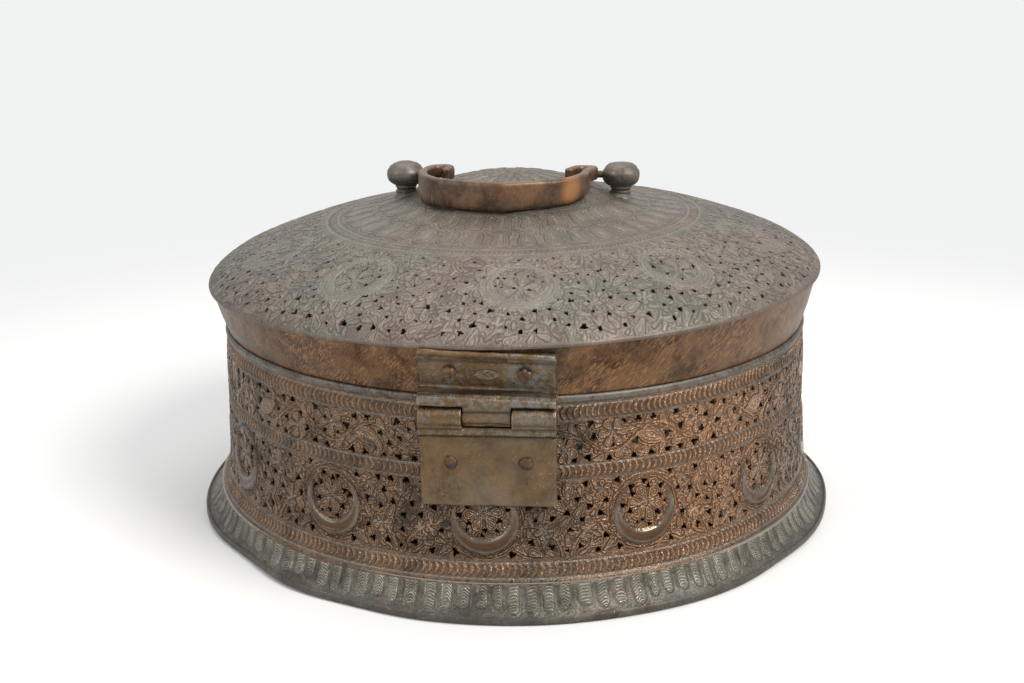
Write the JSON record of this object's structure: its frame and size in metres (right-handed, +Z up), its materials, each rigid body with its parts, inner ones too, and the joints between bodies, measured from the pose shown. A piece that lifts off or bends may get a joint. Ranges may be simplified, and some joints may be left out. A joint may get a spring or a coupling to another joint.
{
  "type": "paan box",
  "caption": "Round pierced and chased brass box on a flared foot, with a domed hinged lid, a swing bail between two knobs, a hasp and a lift-out divided tray.",
  "frame": {"origin": "middle of the foot, on the surface the box stands on", "axes": "+Z up; -Y towards the hinge, which faces the viewer in the picture; the bail's pivot lies along X"},
  "size_m": [0.276, 0.276, 0.146],
  "materials": {
    "case_brass": "aged, chased and pierced sheet",
    "bead_brass": "rubbed bead",
    "foot_brass": "green-grey patina",
    "lid_brass": "aged, chased and pierced sheet",
    "band_brass": "scratched, worn sheet",
    "hinge_brass": "cast, worn",
    "rivet_copper": "dark rivet heads",
    "post_brass": "turned, dark",
    "bail_brass": "hammered strip, polished by hands",
    "pin_iron": "dark iron pin",
    "tinned_brass": "dull tinned sheet"
  },
  "bodies": {
    "case": {"case_wall": "case_brass", "mouth_bead": "bead_brass", "lid_collar": "tinned_brass", "tray_ledge": "tinned_brass", "bottom_plate": "tinned_brass", "foot_skirt": "foot_brass", "foot_rim": "foot_brass", "hinge_lower_leaf": "hinge_brass", "hinge_lower_rivets": "rivet_copper", "hinge_pin": "pin_iron", "hasp_fixed_leaf": "hinge_brass", "hasp_rivets": "rivet_copper", "hasp_pin": "pin_iron"},
    "lid": {"lid_dome": "lid_brass", "lid_band": "band_brass", "hinge_upper_leaf": "hinge_brass", "hinge_upper_rivets": "rivet_copper", "handle_post_left": "post_brass", "handle_post_right": "post_brass", "post_washers": "post_brass", "staple": "post_brass", "staple_rosette": "hinge_brass"},
    "bail": {"handle_bail": "bail_brass"},
    "hasp": {"hasp_strap": "hinge_brass"},
    "tray": {"tray_pan": "tinned_brass", "tray_dividers": "tinned_brass", "tray_knob": "post_brass"}
  },
  "joints": [
    {"name": "lid_hinge", "type": "hinge", "parent": "case", "child": "lid", "pos_m": [0, -0.1285, 0.0773], "axis": [1, 0, 0], "range_deg": [0, 110]},
    {"name": "bail_hinge", "type": "hinge", "parent": "lid", "child": "bail", "pos_m": [0, 0, 0.14092], "axis": [-1, 0, 0], "range_deg": [0, 95]},
    {"name": "hasp_hinge", "type": "hinge", "parent": "case", "child": "hasp", "pos_m": [0, 0.12807, 0.076], "axis": [1, 0, 0], "range_deg": [0, 168]},
    {"name": "tray_lift", "type": "slide", "parent": "case", "child": "tray", "axis": [0, 0, 1], "range_m": [0, 0.03]}
  ]
}
